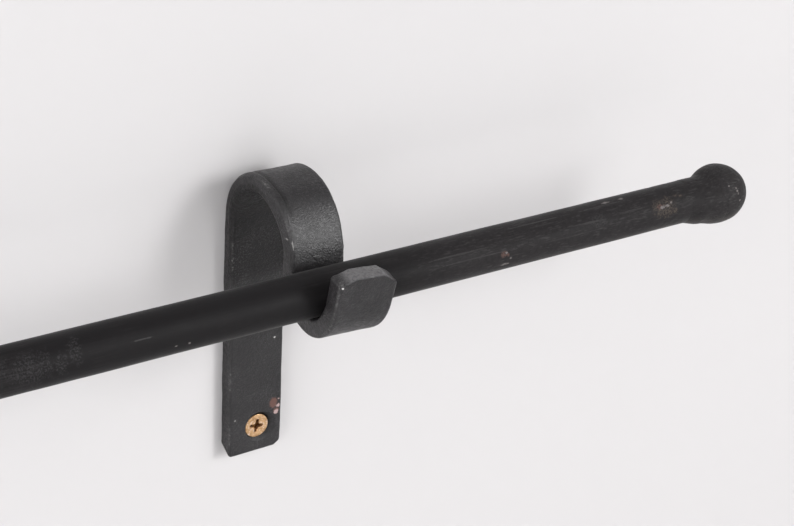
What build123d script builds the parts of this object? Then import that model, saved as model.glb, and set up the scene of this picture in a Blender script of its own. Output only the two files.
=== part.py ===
"""Hand-forged curtain rod on two hooked wall brackets.

A round bar with a ball welded on each end lies loose in two open hooks. Each hook is
one length of flat bar: a plate up the wall, a loop over the top, a front leg, a hook
under the bar and a short lip in front of it. One countersunk screw holds each plate.

Frame: millimetres, +X along the bar to its right-hand end, +Y into the wall, +Z up.
The origin is on the wall face, half-way between the two wall screws.
"""
from build123d import *
from math import atan2, cos, degrees, radians, sin, sqrt
import os

# ---------------------------------------------------------------- driving sizes, mm
# Bar and its ends
overall_length = 800.0      # tip to tip of the two balls
tip_overhang = 135.0        # middle of a bracket to the tip of the ball outside it
rod_diameter = 12.0
ball_diameter = 16.8
neck_hollow_radius = 16.0   # radius of the dressed hollow between bar and ball
weld_toe = 0.3              # height of the weld where it runs out on the bar

# Flat bar of the brackets
bar_width = 16.0
bar_thickness = 5.0
edge_round = 1.0            # rounding of the flat bar's long edges and cut ends
plate_straight = 74.9       # lower end of the plate to the middle of the loop
loop_inner_radius = 13.0
leg_straight = 1.1          # middle of the loop down to the middle of the hook
hook_play = 2.0             # gap beside the rod in the hook, on each side
lip_rise = 9.8              # straight part of the lip above the curve of the hook
lip_lean = 8.0              # degrees that the lip leans away from the wall
lip_corner_width = 3.5      # corners cut off the top of the lip
lip_corner_height = 1.8
plate_corner_width = 4.0    # corners cut off the lower end of the plate
plate_corner_height = 1.3
seat_clearance = 0.2        # running gap between the rod and the hook under it

# Wall screws
screw_height = 8.5          # screw above the lower end of the plate
screw_outboard = 1.0        # screw outboard of the middle of its plate
screw_length = 30.0         # top of the head to the point
thread_diameter = 4.0
shank_diameter = 3.0        # plain neck between the head and the thread
head_diameter = 7.6
head_edge = 0.4             # plain rim of the head, above its cone
head_sunk = 0.6             # head below the face of the plate
hole_clearance = 0.5        # hole in the plate wider than the thread
point_length = 5.0
recess_span = 4.3           # cross recess in the head, over its arms
recess_width = 1.0
recess_depth = 1.5
recess_taper = 6.0          # degrees that the walls of the recess close in

# ---------------------------------------------------------------- places that follow
rod_radius = rod_diameter / 2
ball_radius = ball_diameter / 2
hook_inner_radius = rod_radius + hook_play
hook_outer_radius = hook_inner_radius + bar_thickness
loop_outer_radius = loop_inner_radius + bar_thickness

plate_bottom_z = -screw_height
loop_z = plate_bottom_z + plate_straight
hook_z = loop_z - leg_straight
rod_z = hook_z - hook_inner_radius + rod_radius + seat_clearance
loop_y = -loop_outer_radius
leg_front_y = -2 * loop_outer_radius
hook_y = leg_front_y - hook_inner_radius
rod_y = hook_y

bracket_x = overall_length / 2 - tip_overhang
screw_x = bracket_x + screw_outboard
ball_x = overall_length / 2 - ball_radius
seat_depth = sqrt(ball_radius**2 - rod_radius**2)   # flat on the ball from its middle
rod_end_x = ball_x - seat_depth

head_face_y = -bar_thickness + head_sunk
head_cone = (head_diameter - shank_diameter) / 2    # height of a 90-degree cone
hole_diameter = thread_diameter + hole_clearance
rim_diameter = head_diameter + 2 * (head_sunk + head_edge)


# ---------------------------------------------------------------- the bent flat bar
def bar_side_view():
    """Outline of the bent bar seen from the end of the rod, on the YZ plane."""
    loop_middle = (loop_y, loop_z)
    hook_middle = (hook_y, hook_z)
    turn = 180 - lip_lean
    lip_angle = radians(-turn)
    up_lip = (-sin(radians(lip_lean)) * lip_rise, cos(radians(lip_lean)) * lip_rise)

    def lip_foot(radius):
        return (hook_y + radius * cos(lip_angle), hook_z + radius * sin(lip_angle))

    def lip_top(radius):
        foot = lip_foot(radius)
        return (foot[0] + up_lip[0], foot[1] + up_lip[1])

    with BuildSketch(Plane.YZ) as side:
        with BuildLine():
            Line((0, plate_bottom_z), (0, loop_z))
            CenterArc(loop_middle, loop_outer_radius, 0, 180)
            Line((leg_front_y, loop_z), (leg_front_y, hook_z))
            CenterArc(hook_middle, hook_inner_radius, 0, -turn)
            Line(lip_foot(hook_inner_radius), lip_top(hook_inner_radius))
            Line(lip_top(hook_inner_radius), lip_top(hook_outer_radius))
            Line(lip_top(hook_outer_radius), lip_foot(hook_outer_radius))
            CenterArc(hook_middle, hook_outer_radius, -turn, turn)
            leg_back_y = leg_front_y + bar_thickness
            Line((leg_back_y, hook_z), (leg_back_y, loop_z))
            CenterArc(loop_middle, loop_inner_radius, 180, -180)
            Line((-bar_thickness, loop_z), (-bar_thickness, plate_bottom_z))
            Line((-bar_thickness, plate_bottom_z), (0, plate_bottom_z))
        make_face()
    return side.sketch


def corner_cut(side, corner_z, width, height, near_y, far_y):
    """Wedge that takes one corner off an end of the bar; side is -1 or +1."""
    edge_x = side * bar_width / 2
    inward_x = edge_x - side * width
    slope_x = edge_x - inward_x
    slope_z = -height
    # The wedge stands past the bar by its own size, along the same slope.
    top = (inward_x - slope_x, corner_z - slope_z)
    low = (edge_x + slope_x, corner_z + 2 * slope_z)
    out = (edge_x + slope_x, corner_z - slope_z)
    with BuildSketch(Plane.XZ.offset(-near_y)) as wedge:
        with BuildLine():
            Polyline(top, low, out, close=True)
        make_face()
    return extrude(wedge.sketch, near_y - far_y)


def screw_hole():
    """Clearance hole and 90-degree countersink through the plate, along Y."""
    past = bar_thickness
    with BuildSketch(Plane.XY) as half:
        with BuildLine():
            Polyline(
                (0, past),
                (hole_diameter / 2, past),
                (hole_diameter / 2, -bar_thickness + (rim_diameter - hole_diameter) / 2),
                (rim_diameter / 2 + past, -bar_thickness - past),
                (0, -bar_thickness - past),
                close=True,
            )
        make_face()
    return revolve(half.sketch, Axis.Y)


def end_edges(body):
    """The edges across the bar at its two cut ends, and all the edges along it."""
    lip_end = hook_z + lip_rise / 2
    for edge in body.edges():
        middle = edge.center()
        across = abs(edge.bounding_box().size.X - edge.length) < 0.001
        at_plate_end = middle.Z < plate_bottom_z + 0.001
        at_lip_end = middle.Z > lip_end and middle.Y < hook_y
        if not across or at_plate_end or at_lip_end:
            yield edge


def bracket(side):
    """One bracket; side is -1 for the left-hand one and +1 for the right-hand one."""
    body = extrude(bar_side_view(), bar_width / 2, both=True)
    lip_top_z = hook_z + cos(radians(lip_lean)) * lip_rise - sin(radians(lip_lean)) * hook_inner_radius
    lip_near_y = hook_y - hook_inner_radius / 2
    lip_far_y = hook_y - hook_outer_radius - lip_rise
    for corner in (-1, 1):
        body -= corner_cut(corner, lip_top_z, lip_corner_width, lip_corner_height, lip_near_y, lip_far_y)
        wedge = corner_cut(
            corner, 0, plate_corner_width, plate_corner_height, bar_thickness, -2 * bar_thickness
        )
        body -= Pos(0, 0, plate_bottom_z) * mirror(wedge, Plane.XY)
    body = fillet(list(end_edges(body)), min(edge_round, bar_thickness / 3))
    hole = Pos(side * screw_outboard, 0, 0) * screw_hole()
    return Pos(side * bracket_x, 0, 0) * (body - hole)


# ---------------------------------------------------------------- the rod and its ends
def rod_bar():
    """Round bar between the flats on the two balls."""
    bar = Cylinder(rod_radius, 2 * rod_end_x, rotation=(0, 90, 0))
    return Pos(0, rod_y, rod_z) * bar


def on_rod(side, shape):
    """Put a shape made about the origin, pointing to +X, on one end of the rod."""
    turned = shape if side > 0 else mirror(shape, Plane.YZ)
    return Pos(0, rod_y, rod_z) * turned


def ball_end(side):
    """Ball with a flat the size of the bar's end, where the two meet."""
    ball = Pos(ball_x, 0, 0) * Sphere(ball_radius)
    beyond_flat = Pos(rod_end_x - ball_radius / 2, 0, 0) * Box(ball_radius, ball_diameter, ball_diameter)
    return on_rod(side, ball - beyond_flat)


def neck_weld(side):
    """Ring of weld, dressed to a hollow that runs from the bar up to the ball."""
    toe_radius = rod_radius + weld_toe
    hollow_y = toe_radius + neck_hollow_radius
    hollow_x = ball_x - sqrt((ball_radius + neck_hollow_radius)**2 - hollow_y**2)
    away = Vector(hollow_x - ball_x, hollow_y).normalized()
    top = Vector(ball_x, 0) + away * ball_radius
    middle_angle = (degrees(atan2(-away.Y, -away.X)) - 90) / 2
    to_middle = Vector(1, 0).rotate(Axis.Z, middle_angle) * neck_hollow_radius
    hollow_middle = Vector(hollow_x, hollow_y) + to_middle
    seat_middle = Vector(rod_end_x + top.X, rod_radius + top.Y) / 2 - Vector(ball_x, 0)
    seat_middle = Vector(ball_x, 0) + seat_middle.normalized() * ball_radius
    with BuildSketch(Plane.XY) as half:
        with BuildLine():
            Line((hollow_x, rod_radius), (hollow_x, toe_radius))
            ThreePointArc((hollow_x, toe_radius), hollow_middle, top)
            ThreePointArc(top, seat_middle, (rod_end_x, rod_radius))
            Line((rod_end_x, rod_radius), (hollow_x, rod_radius))
        make_face()
    return on_rod(side, revolve(half.sketch, Axis.X))


# ---------------------------------------------------------------- the wall screws
def cross_recess():
    """Two crossed slots that close in towards the shank, cut from the head's top."""
    slots = None
    for length, width in ((recess_span, recess_width), (recess_width, recess_span)):
        top = Plane((0, head_face_y, 0), x_dir=(1, 0, 0), z_dir=(0, 1, 0))
        slot = extrude(top * Rectangle(length, width), recess_depth, taper=recess_taper)
        slots = slot if slots is None else slots + slot
    return slots


def wall_screw(side):
    """Countersunk screw: head, plain shank to the wall face, thread and point."""
    cone_top_y = head_face_y + head_edge
    point_y = head_face_y + screw_length
    with BuildSketch(Plane.XY) as half:
        with BuildLine():
            Polyline(
                (0, head_face_y),
                (head_diameter / 2, head_face_y),
                (head_diameter / 2, cone_top_y),
                (shank_diameter / 2, cone_top_y + head_cone),
                (shank_diameter / 2, 0),
                (thread_diameter / 2, 0),
                (thread_diameter / 2, point_y - point_length),
                (0, point_y),
                close=True,
            )
        make_face()
    screw = revolve(half.sketch, Axis.Y) - cross_recess()
    return Pos(side * screw_x, 0, 0) * screw


# ---------------------------------------------------------------- every piece, one file each
pieces = {"rod_bar": rod_bar()}
for side, hand in ((-1, "left"), (1, "right")):
    pieces["ball_end_" + hand] = ball_end(side)
    pieces["neck_weld_" + hand] = neck_weld(side)
    pieces["bracket_" + hand] = bracket(side)
    pieces["wall_screw_" + hand] = wall_screw(side)

os.makedirs("parts", exist_ok=True)
for node, shape in pieces.items():
    export_step(shape, "parts/" + node + ".step")
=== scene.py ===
"""Looks of a forged curtain rod that lies in two hooked flat-bar brackets on a wall.

Metres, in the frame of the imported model: +X along the rod, +Y into the wall, +Z up, with the
origin on the wall face half-way between the two wall screws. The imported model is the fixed
frame; every surface below is worked out on a grid and takes its place from that frame.
"""
import logging
import math
from dataclasses import dataclass, field
from enum import Enum

import bpy
import numpy as np
from mathutils import Matrix, Vector


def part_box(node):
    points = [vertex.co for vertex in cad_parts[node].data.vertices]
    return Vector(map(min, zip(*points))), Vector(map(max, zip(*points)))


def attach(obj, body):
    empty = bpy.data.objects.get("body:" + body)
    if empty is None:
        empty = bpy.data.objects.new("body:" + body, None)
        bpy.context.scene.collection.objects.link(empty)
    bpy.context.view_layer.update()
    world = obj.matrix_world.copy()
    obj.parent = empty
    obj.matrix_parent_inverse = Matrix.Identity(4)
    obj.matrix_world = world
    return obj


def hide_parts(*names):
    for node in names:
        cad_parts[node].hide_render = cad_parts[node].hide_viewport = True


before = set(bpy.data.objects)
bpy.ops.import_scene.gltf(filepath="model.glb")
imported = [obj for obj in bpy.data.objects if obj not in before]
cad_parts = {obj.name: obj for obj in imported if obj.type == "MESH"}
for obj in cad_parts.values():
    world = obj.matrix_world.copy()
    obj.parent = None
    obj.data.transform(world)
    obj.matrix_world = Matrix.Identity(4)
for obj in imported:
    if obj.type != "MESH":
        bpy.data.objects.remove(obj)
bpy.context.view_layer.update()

MM = 0.001
log = logging.getLogger("curtain_rod")


# ------------------------------------------------------------------ choices
class Hand(Enum):
    """Which end of the rod a piece belongs to."""

    LEFT = -1
    RIGHT = 1

    @property
    def word(self) -> str:
        """The hand as it stands in the names of nodes."""
        return self.name.lower()


class Body(Enum):
    """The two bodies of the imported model."""

    BRACKETS = "brackets"
    ROD = "rod"


class MarkKind(Enum):
    """What a mark on the blackened steel is made of."""

    RUST = "rust"
    BARE = "bare"
    DUST = "dust"
    SCALE = "scale"
    CREASE = "crease"


# ------------------------------------------------------------------ number work
def lattice_noise(points: np.ndarray, cell: tuple[float, float, float] | float, seed: int) -> np.ndarray:
    """Smooth noise: random values on a box lattice, blended between corners with a quintic fade.

    Args:
        points: positions, shape (..., 3).
        cell: side of a lattice box, or its three sides.
        seed: picks the set of random values.

    Returns:
        Values from -1 to 1, shape (...).
    """
    scaled = points / np.asarray(cell, float)
    corner = np.floor(scaled).astype(np.int64)
    inside = scaled - corner
    fade = inside**3 * (inside * (inside * 6 - 15) + 10)
    total = np.zeros(points.shape[:-1])
    for step in np.ndindex(2, 2, 2):
        here = corner + np.array(step)
        mixed = here[..., 0] * 73856093 ^ here[..., 1] * 19349663 ^ here[..., 2] * 83492791
        mixed = (mixed ^ seed * 668265263) & 0xFFFFFFFF
        mixed = ((mixed ^ mixed >> 15) * 2246822519) & 0xFFFFFFFF
        mixed = ((mixed ^ mixed >> 13) * 3266489917) & 0xFFFFFFFF
        value = ((mixed ^ mixed >> 16) & 0xFFFFFF) / 0x7FFFFF - 1
        share = np.where(np.array(step) == 1, fade, 1 - fade).prod(axis=-1)
        total += value * share
    return total


def smooth_step(value: np.ndarray, low: float, high: float) -> np.ndarray:
    """0 below low, 1 above high, and a cubic ease between them; works downwards if low > high."""
    share = np.clip((value - low) / (high - low), 0, 1)
    return share * share * (3 - 2 * share)


def window(value: np.ndarray, low: float, high: float, ease: float) -> np.ndarray:
    """1 between low and high, easing to 0 over the given distance outside them."""
    return smooth_step(value, low - ease, low) * smooth_step(value, high + ease, high)


def soft_maximum(first: np.ndarray, second: np.ndarray, blend: float) -> np.ndarray:
    """The larger of two values, with the corner between them rounded over the given size."""
    return (first + second + np.sqrt((first - second) ** 2 + blend**2)) / 2


def grid_normals(points: np.ndarray) -> np.ndarray:
    """Unit normals of a grid that is closed around its columns: the cross product of its two slopes.

    Args:
        points: grid of positions, shape (rows, columns, 3).

    Returns:
        Normals of the same shape, on the side that the grid's order of columns gives.
    """
    along = np.gradient(points, axis=0)
    around = np.roll(points, -1, axis=1) - np.roll(points, 1, axis=1)
    normal = np.cross(along, around)
    length = np.linalg.norm(normal, axis=-1, keepdims=True)
    return normal / np.maximum(length, 1e-12)


# ------------------------------------------------------------------ meshes
class Close(Enum):
    """How the ends of a tube-like grid are closed."""

    POINT = "a fan to one middle point"
    STRIP = "a strip of faces between the two long sides"
    JOIN = "the last row joins the first"


@dataclass
class Grid:
    """A tube-like grid of points, closed around its columns, with its named point values.

    Attributes:
        points: positions in metres, shape (rows, columns, 3).
        close: how the two ends are closed.
        mirror: for strips, the sum of the column numbers of two points that face each other.
        values: name to a value per point, shape (rows, columns).
    """

    points: np.ndarray
    close: Close
    mirror: int = 0
    values: dict[str, np.ndarray] = field(default_factory=dict)

    def displaced(self, height: np.ndarray) -> "Grid":
        """Moves each point along its outward normal by the given height and returns the grid."""
        self.points = self.points + self.outward() * height[..., None]
        return self

    def outward(self) -> np.ndarray:
        """Normals that point away from the solid, judged by the sign of its volume.

        Returns:
            Unit normals, shape (rows, columns, 3).
        """
        normal = grid_normals(self.points)
        middle = self.points.mean(axis=(0, 1))
        along, around = np.gradient(self.points, axis=0), np.gradient(self.points, axis=1)
        area = np.linalg.norm(np.cross(along, around), axis=-1)
        volume = ((self.points - middle) * normal).sum(axis=-1) * area
        return normal if volume.sum() > 0 else -normal

    def mesh_object(self, name: str) -> bpy.types.Object:
        """Makes the mesh: a quad between neighbouring points, triangles to each end's middle point.

        Args:
            name: the piece's name.

        Returns:
            The new object, at the origin, linked to the scene.
        """
        rows, columns = self.points.shape[:2]
        index = np.arange(rows * columns).reshape(rows, columns)
        joined = self.close is Close.JOIN
        lower, upper = (index, np.roll(index, -1, axis=0)) if joined else (index[:-1], index[1:])
        quads = np.stack([lower, np.roll(lower, -1, axis=1), np.roll(upper, -1, axis=1), upper], axis=-1)
        faces = quads.reshape(-1, 4).tolist()
        vertices = self.points.reshape(-1, 3)
        if self.close is Close.POINT:
            ends = np.stack([self.points[0].mean(axis=0), self.points[-1].mean(axis=0)])
            vertices = np.concatenate([vertices, ends])
            first, last = index[0], index[-1]
            start = np.full(columns, rows * columns)
            faces += np.stack([np.roll(first, -1), first, start], axis=-1).tolist()
            faces += np.stack([last, np.roll(last, -1), start + 1], axis=-1).tolist()
        if self.close is Close.STRIP:
            faces += self.strip(index[0])[:, ::-1].tolist() + self.strip(index[-1]).tolist()
            tips = [self.strip_tips(index[0]), self.strip_tips(index[-1])]
            faces += tips[0][:, ::-1].tolist() + tips[1].tolist()
        mesh = bpy.data.meshes.new(name)
        mesh.from_pydata(vertices.tolist(), [], faces)
        for key, value in self.values.items():
            flat = value.reshape(-1)
            if self.close is Close.POINT:
                flat = np.concatenate([flat, [value[0].mean(), value[-1].mean()]])
            layer = mesh.attributes.new(key, "FLOAT", "POINT")
            layer.data.foreach_set("value", flat.astype(np.float32))
        mesh.update()
        if signed_volume(mesh) < 0:
            mesh.flip_normals()
        mesh.shade_smooth()
        piece = bpy.data.objects.new(name, mesh)
        bpy.context.scene.collection.objects.link(piece)
        return piece

    def strip(self, ring: np.ndarray) -> np.ndarray:
        """Quads across a ring, between each point and the one that faces it, without its two tips.

        Args:
            ring: vertex numbers of the ring.

        Returns:
            Vertex numbers of the quads, shape (count, 4).
        """
        low = self.mirror // 2
        here = np.arange(low + 1, low + len(ring) // 2 - 1)
        across = self.mirror - here
        return ring[np.stack([here, here + 1, across - 1, across], axis=-1) % len(ring)]

    def strip_tips(self, ring: np.ndarray) -> np.ndarray:
        """The two triangles at the tips of the strip across a ring.

        Args:
            ring: vertex numbers of the ring.

        Returns:
            Vertex numbers of the triangles, shape (2, 3).
        """
        low = self.mirror // 2
        high = low + len(ring) // 2
        return ring[np.array([[low, low + 1, low - 1], [high - 1, high, high + 1]]) % len(ring)]


def signed_volume(mesh: bpy.types.Mesh) -> float:
    """Six times the volume that a mesh closes: the sum of each triangle's triple product.

    Args:
        mesh: a closed mesh.

    Returns:
        The sum, positive if the faces point outwards.
    """
    mesh.calc_loop_triangles()
    corners = np.empty(len(mesh.loop_triangles) * 3, np.int32)
    mesh.loop_triangles.foreach_get("vertices", corners)
    places = np.empty(len(mesh.vertices) * 3, np.float32)
    mesh.vertices.foreach_get("co", places)
    a, b, c = (places.reshape(-1, 3)[corners.reshape(-1, 3)[:, k]].astype(float) for k in range(3))
    return float((a * np.cross(b, c)).sum())


def revolved(
    axis_place: np.ndarray, radius: np.ndarray, angles: np.ndarray, centre: tuple[float, float], along: int
) -> np.ndarray:
    """Surface of revolution: each profile point is swung round an axis that runs along X or Y.

    Args:
        axis_place: place of each profile point along the axis.
        radius: distance from the axis, per profile point or per point of the grid.
        angles: angles round the axis, one per column; 0 faces the room on X, and +X on Y.
        centre: the axis's place in the other two coordinates.
        along: 0 for an axis along X, 1 for one along Y.

    Returns:
        The grid of positions.
    """
    radius = np.broadcast_to(radius if radius.ndim == 2 else radius[:, None], (len(axis_place), len(angles)))
    place = np.broadcast_to(axis_place[:, None], radius.shape)
    across, up = radius * np.cos(angles), radius * np.sin(angles)
    if along == 0:
        return np.stack([place, centre[0] - across, centre[1] + up], axis=-1)
    return np.stack([centre[0] + across, place, centre[1] + up], axis=-1)


# ------------------------------------------------------------------ shader helper
class Shader:
    """Adds and links the nodes of one material, with a Principled surface at its end."""

    def __init__(self, name: str) -> None:
        """Makes the material, with nothing on its tree but the surface and the output.

        Args:
            name: the material's name.
        """
        self.material = bpy.data.materials.new(name)
        self.material.use_nodes = True
        self.tree = self.material.node_tree
        self.tree.nodes.clear()
        self.output = self.tree.nodes.new("ShaderNodeOutputMaterial")
        self.surface = self.tree.nodes.new("ShaderNodeBsdfPrincipled")
        self.join(self.surface.outputs[0], self.output.inputs["Surface"])
        self.place = self.tree.nodes.new("ShaderNodeTexCoord").outputs["Object"]

    def join(self, source: bpy.types.NodeSocket, target: bpy.types.NodeSocket) -> None:
        """Links one socket to another."""
        self.tree.links.new(source, target)

    def feed(self, target: bpy.types.NodeSocket, value: object) -> None:
        """Links a socket to a value, or sets the value on it.

        Args:
            target: the input to fill.
            value: another node's output, a number or a colour.
        """
        if isinstance(value, bpy.types.NodeSocket):
            self.join(value, target)
        elif isinstance(value, tuple) and len(value) == 3 and target.type == "RGBA":
            target.default_value = (*value, 1.0)
        else:
            target.default_value = value

    def sums(self, operation: str, first: object, second: object) -> bpy.types.NodeSocket:
        """Reckons with two values.

        Args:
            operation: what the Math node does.
            first: an output or a number.
            second: an output or a number.

        Returns:
            The result.
        """
        node = self.tree.nodes.new("ShaderNodeMath")
        node.operation = operation
        self.feed(node.inputs[0], first)
        self.feed(node.inputs[1], second)
        return node.outputs[0]

    def stretched(self, scale: tuple[float, float, float]) -> bpy.types.NodeSocket:
        """Object coordinates multiplied along each axis.

        Args:
            scale: the three factors.

        Returns:
            The coordinates.
        """
        node = self.tree.nodes.new("ShaderNodeMapping")
        node.inputs["Scale"].default_value = scale
        self.join(self.place, node.inputs["Vector"])
        return node.outputs[0]

    def noise(self, scale: float, detail: float, vector: bpy.types.NodeSocket | None = None,
              rough: float = 0.5, shift: float = 0.0) -> bpy.types.NodeSocket:
        """Noise from 0 to 1.

        Args:
            scale: lattice boxes per metre, or per unit of the given vector.
            detail: number of finer layers.
            vector: coordinates, or None for the object's own.
            rough: share that each finer layer keeps.
            shift: how much the pattern folds into itself.

        Returns:
            The noise's value.
        """
        node = self.tree.nodes.new("ShaderNodeTexNoise")
        node.inputs["Scale"].default_value = scale
        node.inputs["Detail"].default_value = detail
        node.inputs["Roughness"].default_value = rough
        node.inputs["Distortion"].default_value = shift
        self.join(vector or self.place, node.inputs["Vector"])
        return node.outputs["Fac"]

    def remap(self, value: bpy.types.NodeSocket, low: float, high: float,
              start: float = 0.0, end: float = 1.0) -> bpy.types.NodeSocket:
        """Eases a value from one range to another, and holds it at the ends.

        Args:
            value: the value.
            low: where the ease starts.
            high: where it ends.
            start: the result at and below low.
            end: the result at and above high.

        Returns:
            The eased value.
        """
        node = self.tree.nodes.new("ShaderNodeMapRange")
        node.interpolation_type = "SMOOTHSTEP"
        for key, number in zip(("From Min", "From Max", "To Min", "To Max"), (low, high, start, end)):
            node.inputs[key].default_value = number
        self.join(value, node.inputs["Value"])
        return node.outputs[0]

    def blend(self, share: object, first: object, second: object) -> bpy.types.NodeSocket:
        """Mixes two colours.

        Args:
            share: from 0, all the first colour, to 1, all the second.
            first: an output or a colour.
            second: an output or a colour.

        Returns:
            The mixed colour.
        """
        node = self.tree.nodes.new("ShaderNodeMix")
        node.data_type = "RGBA"
        self.feed(node.inputs["Factor"], share)
        self.feed(node.inputs[6], first)
        self.feed(node.inputs[7], second)
        return node.outputs[2]

    def point_value(self, name: str) -> bpy.types.NodeSocket:
        """The value that a mesh carries at its points.

        Args:
            name: the value's name.

        Returns:
            The value.
        """
        node = self.tree.nodes.new("ShaderNodeAttribute")
        node.attribute_name = name
        return node.outputs["Fac"]

    def spot(self, place: Vector, reach: float, ragged: float, pattern: bpy.types.NodeSocket,
             squeeze: tuple[float, float, float] = (1.0, 1.0, 1.0)) -> bpy.types.NodeSocket:
        """A ragged patch: 1 at a place, falling to 0 at its reach, with an edge broken by a pattern.

        Args:
            place: the middle of the patch.
            reach: its radius.
            ragged: how far the pattern moves the edge, as a share of the reach.
            pattern: a value from 0 to 1.
            squeeze: how many times shorter the patch is along each axis.

        Returns:
            The patch's share from 0 to 1.
        """
        away = self.tree.nodes.new("ShaderNodeVectorMath")
        away.operation = "SUBTRACT"
        self.join(self.place, away.inputs[0])
        away.inputs[1].default_value = place
        scaled = self.tree.nodes.new("ShaderNodeVectorMath")
        scaled.operation = "MULTIPLY"
        self.join(away.outputs[0], scaled.inputs[0])
        scaled.inputs[1].default_value = squeeze
        far = self.tree.nodes.new("ShaderNodeVectorMath")
        far.operation = "LENGTH"
        self.join(scaled.outputs[0], far.inputs[0])
        wobble = self.sums("MULTIPLY", self.sums("SUBTRACT", pattern, 0.5), 2 * ragged * reach)
        return self.remap(self.sums("ADD", far.outputs["Value"], wobble), reach, reach * 0.55)

    def bump(self, height: bpy.types.NodeSocket, depth: float,
             under: bpy.types.NodeSocket | None = None) -> bpy.types.NodeSocket:
        """Tilts the surface as a fine relief would.

        Args:
            height: the relief, from 0 to 1.
            depth: its depth in metres.
            under: another bump on which it lies, or None.

        Returns:
            The tilted normal.
        """
        node = self.tree.nodes.new("ShaderNodeBump")
        node.inputs["Distance"].default_value = depth
        self.join(height, node.inputs["Height"])
        if under is not None:
            self.join(under, node.inputs["Normal"])
        return node.outputs[0]


# ------------------------------------------------------------------ finishes
@dataclass(frozen=True)
class Mark:
    """One mark on the rod.

    Attributes:
        along: millimetres from the middle of the right bracket towards the rod's right-hand end.
        angle: degrees up from the room side.
        reach: its radius in millimetres.
        kind: what it is made of.
        stretch: how many times longer it is along the rod.
    """

    along: float
    angle: float
    reach: float
    kind: MarkKind
    stretch: float = 1.0


@dataclass(frozen=True)
class RodSteel:
    """Blackened steel with fine drawn lines along the rod, dull rubs and a few rusty marks.

    Attributes:
        name: the material's name.
        black: the steel's own black.
        rubbed: where handling has dulled it.
        brown: low on the rod.
        aged: towards the rod's ends.
        rust, bare, dust, scale, crease: the kinds of mark.
        roughness: of the smoothest and of the dullest steel.
        specular: strength of its gloss.
        haze: strength and roughness of the pale bloom seen along its edges.
        line_depth: of the drawn lines.
        grain_depth: of the fine grain.
    """

    name: str = "blackened_steel"
    black: tuple[float, float, float] = (0.0094, 0.0086, 0.0092)
    rubbed: tuple[float, float, float] = (0.024, 0.022, 0.0225)
    brown: tuple[float, float, float] = (0.040, 0.031, 0.025)
    aged: tuple[float, float, float] = (0.0270, 0.0246, 0.0254)
    rust: tuple[float, float, float] = (0.078, 0.048, 0.042)
    bare: tuple[float, float, float] = (0.150, 0.135, 0.132)
    dust: tuple[float, float, float] = (0.036, 0.035, 0.036)
    scale: tuple[float, float, float] = (0.062, 0.050, 0.042)
    crease: tuple[float, float, float] = (0.044, 0.042, 0.042)
    roughness: tuple[float, float] = (0.52, 0.70)
    specular: float = 0.12
    haze: tuple[float, float] = (0.06, 0.35)
    line_depth: float = 0.03 * MM
    grain_depth: float = 0.022 * MM

    def build(self, rod: "ForgedRod") -> bpy.types.Material:
        """Makes the material.

        Args:
            rod: gives the places of the marks.

        Returns:
            The material.
        """
        shader = Shader(self.name)
        lines = shader.noise(1.0, 3.0, shader.stretched((45.0, 2100.0, 2100.0)), 0.62)
        clouds = shader.noise(70.0, 4.0, rough=0.6)
        grain = shader.noise(2300.0, 3.0, rough=0.6)
        speckle = shader.noise(1150.0, 2.0)
        rubs = shader.sums("MULTIPLY", shader.remap(clouds, 0.45, 0.75), shader.remap(lines, 0.35, 0.7))
        aged = shader.point_value("aged")
        worn = shader.sums("MULTIPLY", aged, shader.remap(speckle, 0.25, 0.65, 0.5, 1.0))
        colour = shader.blend(rubs, shader.blend(worn, self.black, self.aged), self.rubbed)
        streaks = shader.noise(1.0, 2.0, shader.stretched((420.0, 2300.0, 2300.0)))
        scratches = shader.sums("MULTIPLY", shader.remap(streaks, 0.54, 0.70), aged)
        colour = shader.blend(scratches, colour, self.crease)
        under = shader.point_value("underside")
        browned = shader.sums("MULTIPLY", under, shader.remap(speckle, 0.35, 0.62))
        colour = shader.blend(shader.sums("MULTIPLY", browned, 0.6), colour, self.brown)
        rough_value = shader.remap(clouds, 0.3, 0.8, *self.roughness)
        broken = {
            MarkKind.RUST: shader.remap(grain, 0.36, 0.52),
            MarkKind.BARE: shader.remap(grain, 0.34, 0.50),
            MarkKind.DUST: shader.remap(grain, 0.44, 0.66, 0.0, 0.75),
            MarkKind.SCALE: shader.remap(grain, 0.42, 0.58),
            MarkKind.CREASE: shader.remap(lines, 0.38, 0.60, 0.1, 0.85),
        }
        tones = {MarkKind.RUST: self.rust, MarkKind.BARE: self.bare, MarkKind.DUST: self.dust,
                 MarkKind.SCALE: self.scale, MarkKind.CREASE: self.crease}
        for mark in rod.marks:
            share = shader.spot(rod.surface_place(mark), mark.reach * MM, 0.75, speckle,
                                (1.0 / mark.stretch, 1.0, 1.0))
            share = shader.sums("MULTIPLY", share, broken[mark.kind])
            colour = shader.blend(share, colour, tones[mark.kind])
        shader.feed(shader.surface.inputs["Base Color"], colour)
        shader.feed(shader.surface.inputs["Roughness"], rough_value)
        shader.surface.inputs["Specular IOR Level"].default_value = self.specular
        shader.surface.inputs["Sheen Weight"].default_value = self.haze[0]
        shader.surface.inputs["Sheen Roughness"].default_value = self.haze[1]
        relief = shader.bump(lines, self.line_depth)
        shader.feed(shader.surface.inputs["Normal"], shader.bump(grain, self.grain_depth, relief))
        return shader.material


@dataclass(frozen=True)
class PaintMark:
    """One chip, speck or patch of painted shade in a bracket's paint.

    Attributes:
        place: its middle.
        reach: its radius.
        tone: its colour.
        squeeze: how many times shorter it is along each axis.
    """

    place: Vector
    reach: float
    tone: tuple[float, float, float]
    squeeze: tuple[float, float, float] = (1.0, 1.0, 1.0)


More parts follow.
